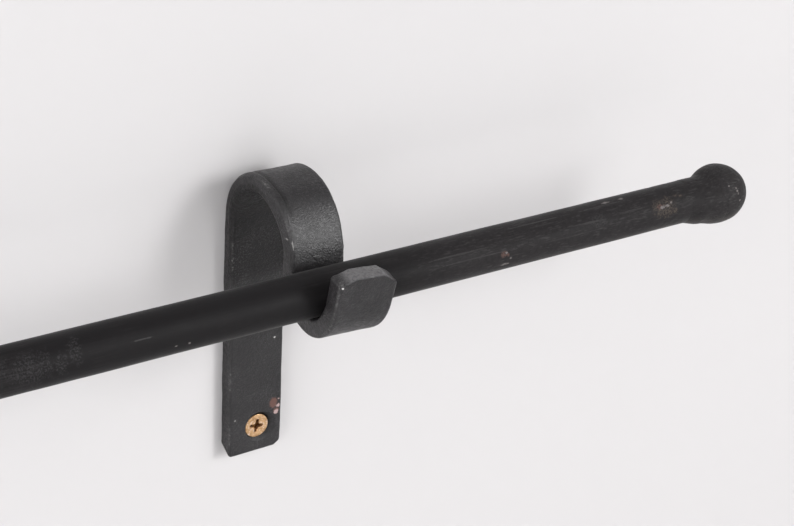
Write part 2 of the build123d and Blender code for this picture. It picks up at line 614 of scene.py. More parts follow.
@dataclass(frozen=True)
class BracketPaint:
    """Charcoal paint with a fine sandy grain on hammered bar, rubbed thin on the edges, and painted shade
    inside the loop, in the crease and round the countersink.

    Attributes:
        name: the material's name, before the hand.
        paint, pale: the darkest and the lightest of its soft clouds.
        worn: where an edge is rubbed thin.
        cut: the cut top of the lip, partly its bare metal and partly a painted highlight on the top face.
        rust, chip, speck: the marks in it.
        roughness: of the smoothest and of the dullest paint.
        shaded: painted shade inside the loop, in the crease and round the countersink.
        fleck: fine pale grains in it.
        gloss: strength of its gloss in the open and inside the loop.
        polish: how much stronger the gloss is on the front of the loop.
        grain_depth: of the sandy grain.
        skin_depth: of the broader ripple.
        edge_break: how far the edge of a mark is broken up.
    """

    name: str = "charcoal_paint"
    paint: tuple[float, float, float] = (0.0076, 0.0067, 0.0075)
    pale: tuple[float, float, float] = (0.0128, 0.0116, 0.0127)
    worn: tuple[float, float, float] = (0.20, 0.195, 0.19)
    cut: tuple[float, float, float] = (0.125, 0.122, 0.125)
    rust: tuple[float, float, float] = (0.115, 0.052, 0.040)
    chip: tuple[float, float, float] = (0.42, 0.30, 0.29)
    speck: tuple[float, float, float] = (0.5, 0.49, 0.48)
    roughness: tuple[float, float] = (0.36, 0.50)
    shaded: tuple[float, float, float] = (0.0050, 0.0044, 0.0044)
    fleck: tuple[float, float, float] = (0.052, 0.049, 0.052)
    gloss: tuple[float, float] = (0.45, 0.28)
    polish: float = 0.41
    grain_depth: float = 0.20 * MM
    skin_depth: float = 0.06 * MM
    edge_break: float = 0.7 * MM

    def build(self, bracket: "HookBracket") -> bpy.types.Material:
        """Makes the material.

        Args:
            bracket: gives the places of its chips and specks.

        Returns:
            The material.
        """
        shader = Shader(f"{self.name}_{bracket.hand.word}")
        grain = shader.noise(2500.0, 2.5, rough=0.6)
        skin = shader.noise(900.0, 2.0, rough=0.5)
        clouds = shader.noise(120.0, 3.0)
        speckle = shader.noise(1500.0, 2.0)
        colour = shader.blend(shader.remap(clouds, 0.35, 0.75), self.paint, self.pale)
        # Painted shade: the inside faces at the foot of the loop are darkened where the loop hides them from
        # the light.
        colour = shader.blend(shader.point_value("inner"), colour, self.shaded)
        grains = shader.remap(shader.noise(2200.0, 1.5), 0.50, 0.70)
        flecks = shader.sums("MULTIPLY", grains, shader.remap(clouds, 0.35, 0.7, 0.25, 0.75))
        colour = shader.blend(flecks, colour, self.fleck)
        # Painted shade in the crease beside the upset edge of the loop's crown.
        colour = shader.blend(shader.point_value("crease"), colour, self.shaded)
        edge = shader.point_value("edge")
        thin = shader.sums("MULTIPLY", shader.remap(edge, 0.55, 1.0), shader.remap(clouds, 0.52, 0.66))
        thin = shader.sums("MULTIPLY", thin, shader.remap(speckle, 0.45, 0.65))
        colour = shader.blend(shader.sums("MULTIPLY", thin, 0.5), colour, self.worn)
        # The cut top of the lip: bare metal, lightened in part as a painted highlight on the top face.
        cut = shader.sums("MULTIPLY", shader.point_value("cut"), shader.remap(speckle, 0.25, 0.6, 0.45, 1.0))
        colour = shader.blend(cut, colour, self.cut)
        for mark in bracket.paint_marks(self):
            ragged = min(0.7, self.edge_break / mark.reach)
            share = shader.spot(mark.place, mark.reach, ragged, speckle, mark.squeeze)
            colour = shader.blend(share, colour, mark.tone)
        shader.feed(shader.surface.inputs["Base Color"], colour)
        shader.feed(shader.surface.inputs["Roughness"], shader.remap(skin, 0.3, 0.7, *self.roughness))
        gloss = shader.remap(shader.point_value("inner"), 0.0, 0.75, *self.gloss)
        polished = shader.sums("MULTIPLY", shader.point_value("polish"), self.polish)
        shader.feed(shader.surface.inputs["Specular IOR Level"], shader.sums("ADD", gloss, polished))
        relief = shader.bump(skin, self.skin_depth)
        wrinkle = shader.sums("MULTIPLY", shader.point_value("wrinkle"), shader.noise(1300.0, 1.0, shift=1.2))
        relief = shader.bump(wrinkle, 4 * self.skin_depth, relief)
        shader.feed(shader.surface.inputs["Normal"], shader.bump(grain, self.grain_depth, relief))
        return shader.material


@dataclass(frozen=True)
class YellowZinc:
    """Yellow passivated zinc, brighter on the faces than down the recess, where brown painted shade darkens it,
    with pale flecks painted as glints.

    Attributes:
        name: the material's name.
        bright, dull: the two ends of its soft clouds.
        painted_recess_shade: painted shade down in the recess.
        white: pale flecks painted as glints on the zinc.
        roughness: of the smoothest and of the dullest zinc.
        metallic: how metallic it is.
        grain_depth: of its fine grain.
    """

    name: str = "yellow_zinc"
    bright: tuple[float, float, float] = (0.68, 0.44, 0.24)
    dull: tuple[float, float, float] = (0.46, 0.27, 0.13)
    painted_recess_shade: tuple[float, float, float] = (0.10, 0.045, 0.014)
    white: tuple[float, float, float] = (0.78, 0.60, 0.46)
    roughness: tuple[float, float] = (0.26, 0.46)
    metallic: float = 0.9
    grain_depth: float = 0.045 * MM

    def build(self) -> bpy.types.Material:
        """Makes the material.

        Returns:
            The material.
        """
        shader = Shader(self.name)
        clouds = shader.noise(900.0, 3.0)
        grain = shader.noise(4200.0, 2.0)
        colour = shader.blend(shader.remap(clouds, 0.35, 0.65), self.bright, self.dull)
        # Painted glints: pale flecks scattered over the zinc.
        colour = shader.blend(shader.remap(shader.noise(1700.0, 2.0), 0.54, 0.68), colour, self.white)
        # Painted shade down in the cross recess.
        colour = shader.blend(shader.point_value("recess"), colour, self.painted_recess_shade)
        shader.feed(shader.surface.inputs["Base Color"], colour)
        shader.surface.inputs["Metallic"].default_value = self.metallic
        shader.feed(shader.surface.inputs["Roughness"], shader.remap(grain, 0.3, 0.7, *self.roughness))
        shader.feed(shader.surface.inputs["Normal"], shader.bump(grain, self.grain_depth))
        return shader.material


@dataclass(frozen=True)
class PaleStage:
    """Matt pale paint of the wall or floor, which isn't seen from behind.

    Attributes:
        name: the material's name.
        colour: its colour.
        roughness: how matt it is.
        specular: strength of its gloss.
    """

    name: str
    colour: tuple[float, float, float]
    roughness: float = 0.9
    specular: float = 0.1

    def build(self) -> bpy.types.Material:
        """Makes the material.

        Returns:
            The material.
        """
        shader = Shader(self.name)
        shader.surface.inputs["Base Color"].default_value = (*self.colour, 1.0)
        shader.surface.inputs["Roughness"].default_value = self.roughness
        shader.surface.inputs["Specular IOR Level"].default_value = self.specular
        clear = shader.tree.nodes.new("ShaderNodeBsdfTransparent")
        side = shader.tree.nodes.new("ShaderNodeNewGeometry")
        mixed = shader.tree.nodes.new("ShaderNodeMixShader")
        shader.join(side.outputs["Backfacing"], mixed.inputs[0])
        shader.join(shader.surface.outputs[0], mixed.inputs[1])
        shader.join(clear.outputs[0], mixed.inputs[2])
        shader.join(mixed.outputs[0], shader.output.inputs["Surface"])
        return shader.material


def settle(piece: bpy.types.Object, body: Body, nodes: tuple[str, ...]) -> None:
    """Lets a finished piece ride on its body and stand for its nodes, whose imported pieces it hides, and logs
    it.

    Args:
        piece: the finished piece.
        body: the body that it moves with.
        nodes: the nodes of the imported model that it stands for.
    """
    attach(piece, body.value)
    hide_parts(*nodes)
    log.info("%s: %d points on body %s", piece.name, len(piece.data.vertices), body.value)


# ------------------------------------------------------------------ the rod
@dataclass
class ForgedRod:
    """The round bar, the ball on each end and the dressed weld between them.

    Attributes:
        row_step: spacing of the rows along the bar.
        bar_columns: points round the bar.
        ball_rows: rows from the ball's tip to its seat.
        ball_columns: points round a ball or a weld.
        facet_depth: how far the hammered flat beside each neck sinks.
        lump_height: unevenness of the forged ball.
        sunk: how far the weld's thin edges start under the surfaces they meet.
        hump_angle: side of the rod on which the weld was left full, up from the room side.
        hump_start: where the full side of the weld starts, from the ball's middle.
        hump_steps: rise, start and end of each swell of that side, from the ball's middle.
        hump_fall: how fast that side falls away past the ball's middle, per metre.
        weld_rows: rows of the weld's outer side.
        weld_end: where the weld runs out on the ball, from the ball's middle.
        weld_edge: the stretch before that in which the weld's thin edge sinks into the ball.
        seat_depth: how far the weld's hidden seats lie under the bar and the ball.
        marks: the marks on the bar and on the right-hand ball.
    """

    row_step: float = 0.62 * MM
    bar_columns: int = 72
    ball_rows: int = 120
    ball_columns: int = 144
    facet_depth: float = 0.16 * MM
    lump_height: float = 0.13 * MM
    sunk: float = 0.02 * MM
    hump_angle: float = math.radians(-57.0)
    hump_start: float = -14.8 * MM
    hump_steps: tuple[tuple[float, float, float], ...] = (
        (1.28 * MM, -14.6 * MM, -8.4 * MM),
        (1.10 * MM, -9.0 * MM, -2.0 * MM),
    )
    hump_fall: float = 90.0
    weld_rows: int = 64
    weld_end: float = -2.8 * MM
    weld_edge: float = 0.8 * MM
    seat_depth: float = 0.3 * MM
    marks: tuple[Mark, ...] = (
        Mark(48.2, 12.5, 1.1, MarkKind.RUST, 1.1),
        Mark(49.4, 7.0, 0.6, MarkKind.RUST),
        Mark(49.0, 14.0, 0.35, MarkKind.BARE, 1.4),
        Mark(50.4, -4.0, 0.45, MarkKind.BARE),
        Mark(48.8, -19.5, 0.42, MarkKind.BARE, 3.6),
        Mark(102.8, 29.0, 3.6, MarkKind.SCALE, 1.3),
        Mark(101.3, 33.0, 0.9, MarkKind.RUST, 1.3),
        Mark(102.2, 29.0, 0.55, MarkKind.BARE, 1.4),
        Mark(103.9, 31.0, 0.5, MarkKind.BARE, 1.8),
        Mark(105.4, 36.0, 0.5, MarkKind.BARE),
        Mark(107.9, 52.0, 0.6, MarkKind.SCALE, 2.4),
        Mark(106.6, 14.0, 1.1, MarkKind.SCALE),
        Mark(109.2, 49.0, 0.45, MarkKind.SCALE, 2.0),
        Mark(118.8, 23.0, 0.35, MarkKind.BARE),
        Mark(124.9, 39.0, 0.36, MarkKind.BARE),
        Mark(127.0, 32.0, 0.40, MarkKind.BARE),
        Mark(127.3, 26.0, 0.42, MarkKind.BARE),
        Mark(127.5, 21.0, 0.36, MarkKind.BARE),
        Mark(128.2, 6.4, 0.38, MarkKind.BARE),
        Mark(124.6, 84.0, 3.0, MarkKind.DUST),
        Mark(121.0, -40.0, 4.5, MarkKind.DUST, 1.6),
        Mark(80.2, 39.0, 2.4, MarkKind.DUST, 1.6),
        Mark(85.3, 84.0, 0.5, MarkKind.BARE, 3.0),
        Mark(90.5, 84.0, 0.5, MarkKind.BARE, 2.2),
        Mark(34.0, 39.0, 0.30, MarkKind.CREASE, 42.0),
        Mark(63.0, 62.0, 0.34, MarkKind.CREASE, 20.0),
        Mark(76.0, 37.0, 0.34, MarkKind.CREASE, 20.0),
        Mark(91.5, 41.0, 0.36, MarkKind.CREASE, 22.0),
        Mark(40.0, 20.0, 0.24, MarkKind.CREASE, 60.0),
        Mark(70.0, 15.0, 0.26, MarkKind.CREASE, 50.0),
        Mark(84.0, 75.0, 0.40, MarkKind.CREASE, 26.0),
        Mark(60.0, 75.0, 0.30, MarkKind.CREASE, 40.0),
        Mark(-43.8, -13.0, 0.40, MarkKind.BARE),
        Mark(-47.4, -12.0, 0.25, MarkKind.BARE, 2.0),
        Mark(-55.8, 26.5, 0.24, MarkKind.CREASE, 14.0),
        Mark(-84.0, 20.0, 5.5, MarkKind.DUST, 1.5),
        Mark(-72.6, 40.0, 4.2, MarkKind.DUST, 0.55),
        Mark(-76.5, 14.0, 3.6, MarkKind.DUST, 0.6),
        Mark(-92.0, 45.0, 3.2, MarkKind.DUST, 1.2),
    )

    def __post_init__(self) -> None:
        """Reads the sizes and places of the rod's pieces from the frame."""
        low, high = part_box("rod_bar")
        self.radius = (high.z - low.z) / 2
        self.centre = ((low.y + high.y) / 2, (low.z + high.z) / 2)
        self.half_length = high.x
        ball_low, ball_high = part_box("ball_end_right")
        self.ball_radius = (ball_high.z - ball_low.z) / 2
        self.ball_x = ball_high.x - self.ball_radius
        self.weld_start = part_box("neck_weld_right")[0].x
        bracket_low, bracket_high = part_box("bracket_right")
        self.bracket_x = (bracket_low.x + bracket_high.x) / 2

    def surface_place(self, mark: Mark) -> Vector:
        """Point on the bar, or on the ball past its end, where a mark sits.

        Args:
            mark: the mark.

        Returns:
            Its place.
        """
        along, angle = self.bracket_x + mark.along * MM, math.radians(mark.angle)
        on_ball = math.sqrt(max(self.ball_radius**2 - (along - self.ball_x) ** 2, 0.0))
        radius = max(self.radius, on_ball)
        y, z = self.centre[0] - radius * math.cos(angle), self.centre[1] + radius * math.sin(angle)
        return Vector((along, y, z))

    def skin(self, points: np.ndarray) -> np.ndarray:
        """Height of the hammered skin, the same for every piece so that they meet without a step.

        Two layers of noise stretched along the rod, less the pits near the necks, where two
        finer layers rise over a limit.

        Args:
            points: positions on the rod.

        Returns:
            The height at each point.
        """
        outward = np.abs(points[..., 0])
        near_neck = window(outward, self.weld_start - 14 * MM, self.ball_x, 10 * MM)
        waves = 0.045 * MM * lattice_noise(points, (22 * MM, 5 * MM, 5 * MM), 3)
        ripples = 0.022 * MM * lattice_noise(points, (6 * MM, 1.6 * MM, 1.6 * MM), 5)
        pits = lattice_noise(points, 1.5 * MM, 11) + 0.6 * lattice_noise(points, 0.8 * MM, 12)
        pits = -0.11 * MM * np.clip(pits - 0.25, 0, 1)
        return waves + ripples + near_neck * pits

    def facets(self, along: np.ndarray, angles: np.ndarray) -> np.ndarray:
        """Depth of the long hammered flats on the bar outside each bracket.

        A flat sinks as a smooth trough between two angles, with a sharper lower border.

        Args:
            along: places along the rod, one per row.
            angles: angles round the rod, one per column.

        Returns:
            The change of radius, never above 0.
        """
        past = np.abs(along) - self.bracket_x
        reach = window(past, 22 * MM, 98 * MM, 14 * MM)[:, None]
        drift = 0.05 * np.sin(past * 190.0)[:, None]
        turn = np.degrees(np.angle(np.exp(1j * angles))[None, :] - drift)
        trough = smooth_step(turn, 33, 42) * smooth_step(turn, 88, 60)
        return -self.facet_depth * reach * trough

    def bar(self) -> bpy.types.Object:
        """The bar: a circle carried along the rod, less the flats, with the hammered skin on it.

        Returns:
            The piece.
        """
        rows = int(2 * self.half_length / self.row_step)
        along = np.linspace(-self.half_length, self.half_length, rows)
        angles = np.linspace(0, 2 * math.pi, self.bar_columns, endpoint=False)
        radius = self.radius + self.facets(along, angles)
        grid = Grid(revolved(along, radius, angles, self.centre, 0), Close.POINT)
        grid = self.with_wear(grid).displaced(self.skin(grid.points))
        return grid.mesh_object("forged_bar")

    def with_wear(self, grid: Grid) -> Grid:
        """Adds the values that brown the steel's lower side and pale it towards the rod's ends.

        Args:
            grid: a piece of the rod.

        Returns:
            The same grid.
        """
        far = np.abs(grid.points[..., 0])
        past_bracket = smooth_step(far, self.bracket_x + 6 * MM, self.bracket_x + 40 * MM)
        grid.values["aged"] = 0.55 * past_bracket + 0.45 * smooth_step(far, self.weld_start, self.ball_x)
        low = smooth_step(self.centre[1] - grid.points[..., 2], 0.30 * self.radius, 0.95 * self.radius)
        out = smooth_step(far, self.bracket_x + 15 * MM, self.weld_start)
        grid.values["underside"] = low * (0.35 + 0.65 * out)
        return grid

    def lumps(self, points: np.ndarray, hand: Hand) -> np.ndarray:
        """Unevenness of a forged ball: two layers of noise, one coarse and one fine.

        Args:
            points: positions on the ball or its weld.
            hand: which ball, as no two are alike.

        Returns:
            The height at each point.
        """
        coarse = lattice_noise(points, 6.5 * MM, 21 + hand.value)
        fine = lattice_noise(points, 2.4 * MM, 31 + hand.value)
        return self.lump_height * (coarse + 0.25 * fine)

    def hump(self, place: np.ndarray, angles: np.ndarray) -> np.ndarray:
        """Radius of the side of the weld that was left full: the bar's radius and two eased swells.

        Args:
            place: distance outwards from the ball's middle.
            angles: angles round the rod, up from the room side.

        Returns:
            The radius; it falls away beyond the ball's middle and on the other side of the rod.
        """
        rise = sum(height * smooth_step(place, start, end) for height, start, end in self.hump_steps)
        side = smooth_step(np.cos(angles - self.hump_angle), -0.75, 0.85)
        return self.radius + rise * side - self.hump_fall * np.clip(place, 0, None) ** 2

    def dressed(self, place: np.ndarray, angles: np.ndarray) -> np.ndarray:
        """Radius of the ball's near side under the weld: the larger of the sphere's and the full side's.

        The corner between the two is rounded widely along the weld and little beyond it.

        Args:
            place: distance outwards from the ball's middle, one per row.
            angles: angles round the rod, one per column.

        Returns:
            The radius of each point of the grid.
        """
        sphere = np.sqrt(np.clip(self.ball_radius**2 - place**2, 0, None))[:, None]
        full = self.hump(place[:, None], angles[None, :])
        opening = smooth_step(place, self.hump_start, self.hump_start + 3 * MM)
        wide = 0.12 * MM + (0.75 * opening - 0.57 * smooth_step(place, -7.0 * MM, -2.0 * MM)) * MM
        return soft_maximum(np.maximum(sphere, 0.5 * self.radius), full, wide[:, None])

    def ball(self, hand: Hand) -> bpy.types.Object:
        """A ball: an arc from the tip to the seat swung round the rod's axis, then its flat seat.

        On the near side the arc gives way to the dressed radius that the weld has too.

        Args:
            hand: which end of the rod it is on.

        Returns:
            The piece.
        """
        seat_angle = math.pi - math.asin(min(self.radius / self.ball_radius, 1.0))
        turn = np.linspace(0.015, seat_angle, self.ball_rows)
        place = self.ball_radius * np.cos(turn)
        angles = np.linspace(0, 2 * math.pi, self.ball_columns, endpoint=False)
        radius = self.ball_radius * np.sin(turn)[:, None]
        near_side = smooth_step(place, 1.0 * MM, -1.5 * MM) * smooth_step(turn, seat_angle, seat_angle - 0.1)
        radius = radius + near_side[:, None] * (self.dressed(place, angles) - radius)
        flat = np.linspace(0.9, 0.1, 6)
        place = np.concatenate([place, np.full(len(flat), place[-1])]) + self.ball_x
        radius = np.concatenate([radius, radius[-1:] * flat[:, None]])
        grid = Grid(revolved(hand.value * place, radius, angles, self.centre, 0), Close.POINT)
        off_seat = np.concatenate([smooth_step(turn, seat_angle, seat_angle - 0.15), np.zeros(len(flat))])
        height = self.skin(grid.points) + self.lumps(grid.points, hand)
        grid = self.with_wear(grid).displaced(height * off_seat[:, None])
        return grid.mesh_object(f"forged_ball_{hand.word}")

    def weld(self, hand: Hand) -> bpy.types.Object:
        """A dressed weld over the bar's end and the ball's near side, closed underneath by its seats.

        Its radius at each place is the largest of the bar's, the ball's and the full side's, with
        the corners between them rounded.

        Args:
            hand: which end of the rod it is on.

        Returns:
            The piece.
        """
        place = np.linspace(self.hump_start, self.weld_end, self.weld_rows)
        angles = np.linspace(0, 2 * math.pi, self.ball_columns, endpoint=False)
        ease = smooth_step(place, self.hump_start, self.hump_start + 3 * MM)[:, None]
        past = smooth_step(place, self.weld_end - self.weld_edge, self.weld_end)[:, None]
        lift = smooth_step(place, self.hump_start, self.hump_start + 2 * MM)[:, None] * 2 - 1
        outer = self.dressed(place, angles) - 0.06 * MM * (1 - ease) + self.sunk * lift * (1 - 2 * past)
        back = np.linspace(0, 1, 8)[1:]
        seat_turn = math.acos(-self.weld_end / self.ball_radius)
        bar_turn = math.asin(self.radius / self.ball_radius)
        turn = seat_turn + (bar_turn - seat_turn) * back
        lowered = self.ball_radius - self.seat_depth
        under_x = np.linspace(-lowered * math.cos(bar_turn), self.hump_start, 8)[1:-1]
        inner_x = np.concatenate([-lowered * np.cos(turn), under_x])
        inner_r = np.concatenate([lowered * np.sin(turn), np.full(len(under_x), self.radius - self.seat_depth)])
        inner = np.repeat(inner_r[:, None], len(angles), axis=1)
        shown = np.concatenate([np.ones(len(place)), np.zeros(len(inner_x))])[:, None]
        along = hand.value * (self.ball_x + np.concatenate([place, inner_x]))
        grid = Grid(revolved(along, np.concatenate([outer, inner]), angles, self.centre, 0), Close.JOIN)
        share = smooth_step(np.abs(grid.points[..., 0]), self.ball_x - 12 * MM, self.ball_x - 5 * MM)
        height = self.skin(grid.points) + self.lumps(grid.points, hand) * share
        grid = self.with_wear(grid).displaced(height * shown)
        return grid.mesh_object(f"neck_weld_{hand.word}_dressed")

    def build(self, steel: RodSteel) -> None:
        """Makes the rod's pieces and lets them ride on the rod's body.

        Args:
            steel: their finish.
        """
        material = steel.build(self)
        bar = self.bar()
        bar.data.materials.append(material)
        settle(bar, Body.ROD, ("rod_bar",))
        for hand in Hand:
            ball = self.ball(hand)
            ball.data.materials.append(material)
            settle(ball, Body.ROD, (f"ball_end_{hand.word}",))
            weld = self.weld(hand)
            weld.data.materials.append(material)
            settle(weld, Body.ROD, (f"neck_weld_{hand.word}",))


# ------------------------------------------------------------------ the brackets
@dataclass
class HookBracket:
    """One length of flat bar bent into plate, loop, leg, hook and lip.

    In the methods, s is the distance along the bar from its lower end, x the place across it and
    n the place through its thickness, positive on the outside of the loop.

    Attributes:
        hand: which end of the rod it carries.
        thickness: of the flat bar.
        loop_radius: inside the loop.
        hook_radius: inside the hook.
        leg: straight stretch between loop and hook.
        lip_lean: angle that the lip leans out from the wall.
        lip_rise: straight stretch of the lip.
        lip_turn: angle that the lip is knocked over towards the rod's end.
        corner: radius of the bar's long edges on the plate, over the loop and at the lip.
        end_round: radius round the cut ends.
        lip_clips: width and height of the corners cut off the lip, inboard and outboard.
        plate_clips: width and height of the corners cut off the plate, inboard and outboard.
        plate_slant: how much the cut of the plate rises from its front to its back.
        saddle: how far the edges curl away from a bend.
        bend_spread: how much a bend narrows the bar's outside, as a share of the width.
        crown_tilt: half of how much lower the outboard edge of the loop's crown lies.
        groove_depth: of the crease beside the upset edge of the loop.
        hole_radius: of the screw's clearance hole.
        rim_radius: of the countersink at the plate's face.
        rim_shift: how far the countersink was drilled off the screw, outboard and up.
        screw_drop: how far the screw and its hole sit low.
        row_step: spacing of the rows along the bar.
        corner_points: points round one corner of the section.
        side_points: points between two corners, across the width and across the thickness.
    """

    hand: Hand
    thickness: float = 5.0 * MM
    loop_radius: float = 13.0 * MM
    hook_radius: float = 8.0 * MM
    leg: float = 1.1 * MM
    lip_lean: float = math.radians(8.0)
    lip_rise: float = 9.8 * MM
    lip_turn: float = math.radians(4.6)
    corner: tuple[float, float, float] = (0.80 * MM, 1.35 * MM, 1.0 * MM)
    end_round: float = 0.55 * MM
    lip_clips: tuple[tuple[float, float], ...] = ((4.2 * MM, 1.3 * MM), (3.9 * MM, 2.5 * MM))
    plate_clips: tuple[tuple[float, float], ...] = ((0.6 * MM, 0.2 * MM), (1.6 * MM, 1.15 * MM))
    plate_slant: float = 2.7 * MM
    saddle: float = 0.20 * MM
    bend_spread: float = 0.022
    crown_tilt: float = 0.17 * MM
    groove_depth: float = 0.42 * MM
    hole_radius: float = 2.25 * MM
    rim_radius: float = 4.85 * MM
    rim_shift: tuple[float, float] = (0.78 * MM, 0.05 * MM)
    screw_drop: float = 0.4 * MM
    row_step: float = 0.36 * MM
    corner_points: int = 9
    side_points: tuple[int, int] = (36, 7)

    def __post_init__(self) -> None:
        """Reads the bracket's box and its screw's place from the frame."""
        low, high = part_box(f"bracket_{self.hand.word}")
        screw_low, screw_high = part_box(f"wall_screw_{self.hand.word}")
        self.x = (low.x + high.x) / 2
        self.width = high.x - low.x
        self.bottom = low.z
        self.screw = Vector(((screw_low.x + screw_high.x) / 2, screw_low.y,
                             (screw_low.z + screw_high.z) / 2 - self.screw_drop))
        self.loop_z = high.z - self.loop_radius - self.thickness
        self.hook_z = self.loop_z - self.leg
        self.lengths = np.array([
            self.loop_z - self.bottom,
            math.pi * (self.loop_radius + self.thickness / 2),
            self.leg,
            (math.pi - self.lip_lean) * (self.hook_radius + self.thickness / 2),
            self.lip_rise,
        ])
        self.total = float(self.lengths.sum())

    def centre_line(self, s: np.ndarray) -> tuple[np.ndarray, np.ndarray]:
        """The middle of the bar's thickness: straight, half circle over, straight, hook under, straight.

        Args:
            s: distances along the bar from its lower end, any shape.

        Returns:
            Places (y, z) and the angle of the bar's direction, from +Y towards +Z.
        """
        start = np.concatenate([[0.0], np.cumsum(self.lengths)])
        half = self.thickness / 2
        loop = self.loop_radius + half
        hook = self.hook_radius + half
        loop_y = -(self.loop_radius + self.thickness)
        hook_y = 2 * loop_y - self.hook_radius
        over = np.clip((s - start[1]) / loop, 0, math.pi)
        down = np.clip(s - start[2], 0, self.leg)
        under = np.clip((s - start[3]) / hook, 0, math.pi - self.lip_lean)
        rise = s - start[4]
        lip_end = math.pi - self.lip_lean
        y = np.where(s < start[2], loop_y + loop * np.cos(over), hook_y + hook * np.cos(under))
        z = np.where(s < start[1], self.bottom + s, self.loop_z + loop * np.sin(over) - down)
        z = np.where(s > start[3], self.hook_z - hook * np.sin(under), z)
        y = np.where(s > start[4], hook_y + hook * math.cos(lip_end) - rise * math.sin(self.lip_lean), y)
        z = np.where(s > start[4], self.hook_z - hook * math.sin(lip_end) + rise * math.cos(self.lip_lean), z)
        heading = math.pi / 2 + over - under
        return np.stack([y, z], axis=-1), heading

    def section(self) -> tuple[np.ndarray, np.ndarray, np.ndarray]:
        """Template of a rounded rectangle: four quarter circles with straight sides between them.

        Returns:
            For each column, its shares of half the width and half the thickness, from -1 to 1, and
            the angle at which it stands off the middle of its corner.
        """
        quarter = np.linspace(0, math.pi / 2, self.corner_points)
        share_x, share_n, angle = [], [], []
        corners = ((1, 1), (-1, 1), (-1, -1), (1, -1))
        for turn, (cx, cn) in enumerate(corners):
            angle.append(quarter + turn * math.pi / 2)
            share_x.append(np.full(len(quarter), cx))
            share_n.append(np.full(len(quarter), cn))
            steps = np.linspace(0, 1, self.side_points[turn % 2] + 2)[1:-1]
            next_x, next_n = corners[(turn + 1) % 4]
            share_x.append(cx + (next_x - cx) * steps)
            share_n.append(cn + (next_n - cn) * steps)
            angle.append(np.full(len(steps), (turn + 1) * math.pi / 2))
        return np.concatenate(share_x), np.concatenate(share_n), np.concatenate(angle)

    def facing(self) -> int:
        """Sum of the column numbers of two points of the section that face each other."""
        return 4 * self.corner_points + 2 * self.side_points[0] + self.side_points[1] - 1

    def bend(self, s: np.ndarray) -> np.ndarray:
        """How much the bar is bent at a place: 1 in the loop, -1 in the hook, easing between.

        Args:
            s: distances along the bar.

        Returns:
            The bend at each.
        """
        start = np.cumsum(self.lengths)
        ease = 4 * MM
        loop = window(s, start[0] + ease, start[1] - ease, 2 * ease)
        return loop - window(s, start[2] + ease, start[3] - ease, 2 * ease)

    def half_width(self, s: np.ndarray, outboard: np.ndarray) -> np.ndarray:
        """Half the bar's width: full on the plate, drawn in over the loop, spread at the lip.

        Straight lines between the stations of the bends.

        Args:
            s: distances along the bar.
            outboard: above 0 for the outboard edge, below 0 for the inboard one.

        Returns:
            The distance from the middle to that edge.
        """
        start = np.cumsum(self.lengths)
        stations = np.array([0, start[0] + 6 * MM, start[0] + 20 * MM, start[1] - 14 * MM, start[1],
                             start[2] + 6 * MM, start[3] - 6 * MM, start[3], start[4]])
        inner = np.interp(s, stations, (0.17, 0.17, 0.0, -0.1, 0.0, 0.15, 0.4, 0.55, 0.65))
        outer = np.interp(s, stations, (0.55, 0.45, 0.30, 0.15, -0.2, -0.3, -0.1, 0.3, 0.65))
        return self.width / 2 + MM * np.where(outboard > 0, outer, inner)

    def corner_radius(self, s: np.ndarray, outboard: np.ndarray) -> np.ndarray:
        """Radius of the long edges: crisp on the plate, upset over the loop, eased at the lip.

        Args:
            s: distances along the bar.
            outboard: above 0 for the outboard edges, below 0 for the inboard ones.

        Returns:
            The radius.
        """
        start = np.cumsum(self.lengths)
        plate, loop, lip = self.corner
        upset = window(s, start[0] + 4 * MM, start[1] - 4 * MM, 12 * MM) * np.where(outboard > 0, 0.35, 1.0)
        return plate + (loop - plate) * upset + (lip - plate) * smooth_step(s, start[2], start[3])

    def end_place(self, x: np.ndarray) -> tuple[np.ndarray, np.ndarray]:
        """Where the bar starts and ends: each corner is cut off along a straight slope.

        Args:
            x: places across the bar.

        Returns:
            The distances along the bar at which it starts and ends there.
        """
        low, top = np.zeros_like(x), np.zeros_like(x)
        for side, plate, lip in zip((-1, 1), self.plate_clips, self.lip_clips):
            edge = side * self.hand.value * x
            low += np.clip(edge - (self.width / 2 - plate[0]), 0, None) * plate[1] / plate[0]
            top += np.clip(edge - (self.width / 2 - lip[0]), 0, None) * lip[1] / lip[0]
        return low, self.total - top

    def surface(self) -> Grid:
        """The bar's surface: a rounded rectangle carried along the centre line, with rounded cut ends.

        Rows of the two caps shrink the section and follow the cut corners, and a strip closes them.
        In the bends the section saddles: its edges curl away from the bend.

        Returns:
            The surface, with the values that its paint reads.
        """
        rows = int(self.total / self.row_step)
        body_s = np.linspace(0, 1, rows)
        curve = np.linspace(0, math.pi / 2, 8)[1:]
        fill = np.linspace(0, 1, 6)[1:-1]
        half = self.thickness / 2
        cap_in = np.concatenate([self.end_round * (1 - np.cos(curve)),
                                 self.end_round + (half - self.end_round) * fill])
        cap_s = np.concatenate([self.end_round * (1 - np.sin(curve)), np.zeros(len(fill))])
        inset = np.concatenate([cap_in[::-1], np.zeros(rows), cap_in])[:, None]
        from_low = np.concatenate([cap_s[::-1], np.full(rows, np.nan), np.full(len(cap_s), np.nan)])[:, None]
        from_top = np.concatenate([np.full(len(cap_s) + rows, np.nan), cap_s])[:, None]
        body = np.concatenate([np.full(len(cap_s), np.nan), body_s, np.full(len(cap_s), np.nan)])[:, None]

